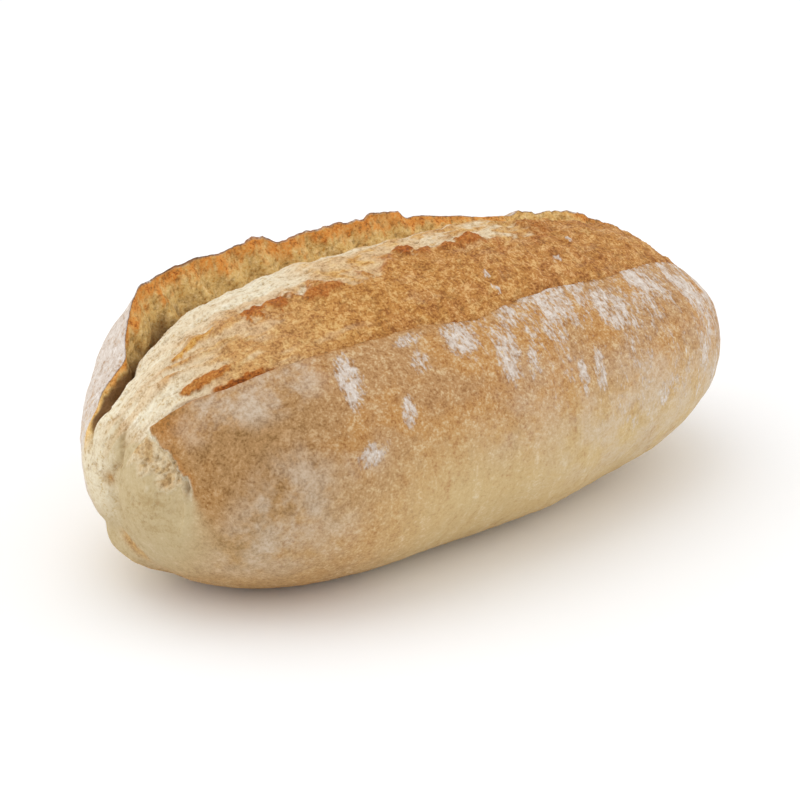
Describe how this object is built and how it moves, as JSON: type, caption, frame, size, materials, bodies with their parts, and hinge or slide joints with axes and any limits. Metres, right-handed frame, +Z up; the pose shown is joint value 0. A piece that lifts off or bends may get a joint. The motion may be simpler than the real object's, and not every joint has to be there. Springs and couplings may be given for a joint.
{
  "type": "sourdough loaf",
  "caption": "Long oval rustic bread loaf with a floured crust, slashed along the top and burst open into a raised ragged bloom with a standing ear.",
  "frame": {"origin": "middle of the loaf's bounding box, on the table it stands on", "axes": "+X along the loaf away from the pale burst end, +Y towards the ear's side, +Z up"},
  "size_m": [0.2814, 0.1462, 0.1094],
  "materials": {
    "crust": "matte baked bread crust, golden brown, dusted with white flour, with pale torn crumb along the burst slash"
  },
  "bodies": {
    "root": {"loaf": "crust"}
  },
  "joints": []
}
